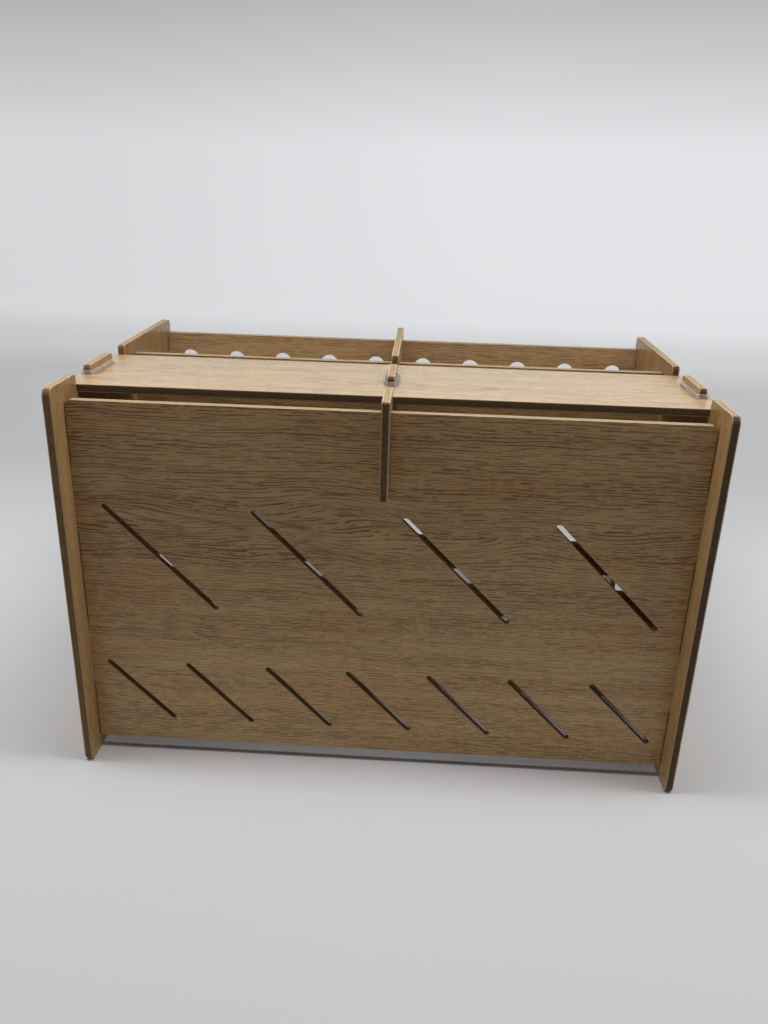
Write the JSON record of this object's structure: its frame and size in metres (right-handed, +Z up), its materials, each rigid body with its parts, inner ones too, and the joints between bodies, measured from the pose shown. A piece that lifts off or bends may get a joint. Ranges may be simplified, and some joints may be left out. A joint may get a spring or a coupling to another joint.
{
  "type": "tool storage caddy",
  "caption": "Flat-pack desk caddy of slotted wood-look boards: slit front panel, lift-off top board under clear rings, open rear tray with a row of holes, cubbies below.",
  "frame": {"origin": "centre of the footprint at the table", "axes": "+X to the right as seen from the slit panel, +Y from the slit panel to the rear, +Z up"},
  "size_m": [0.251, 0.1504, 0.159],
  "materials": {
    "laminate_board": "satin oak-look laminate with bare cut edges",
    "clear_ring": "clear elastic"
  },
  "bodies": {
    "frame": {"left_side_panel": "laminate_board", "right_side_panel": "laminate_board", "front_slit_panel": "laminate_board", "rack_panel": "laminate_board", "tray_wall": "laminate_board", "hole_panel": "laminate_board", "tray_floor": "laminate_board", "centre_rib": "laminate_board", "cubby_partition": "laminate_board", "cubby_shelf": "laminate_board", "cubby_floor": "laminate_board", "ring_front_low_left": "clear_ring", "ring_front_high_left": "clear_ring", "ring_rack_left": "clear_ring", "ring_tray_wall_left": "clear_ring", "ring_hole_panel_left": "clear_ring", "ring_tray_floor_left": "clear_ring", "ring_front_low_right": "clear_ring", "ring_front_high_right": "clear_ring", "ring_rack_right": "clear_ring", "ring_tray_wall_right": "clear_ring", "ring_hole_panel_right": "clear_ring", "ring_tray_floor_right": "clear_ring", "ring_cubby_shelf_left": "clear_ring", "ring_cubby_floor_left": "clear_ring"},
    "top_board": {"top_board": "laminate_board"},
    "ring_top_left": {"ring_top_left": "clear_ring"},
    "ring_top_centre": {"ring_top_centre": "clear_ring"},
    "ring_top_right": {"ring_top_right": "clear_ring"}
  },
  "joints": [
    {"name": "top_board_lift", "type": "slide", "parent": "frame", "child": "top_board", "axis": [0, 0, 1], "range_m": [0, 0.03]},
    {"name": "ring_top_left_pull", "type": "slide", "parent": "top_board", "child": "ring_top_left", "axis": [0, 0, 1], "range_m": [0, 0.015]},
    {"name": "ring_top_centre_pull", "type": "slide", "parent": "top_board", "child": "ring_top_centre", "axis": [0, 0, 1], "range_m": [0, 0.015]},
    {"name": "ring_top_right_pull", "type": "slide", "parent": "top_board", "child": "ring_top_right", "axis": [0, 0, 1], "range_m": [0, 0.015]}
  ]
}
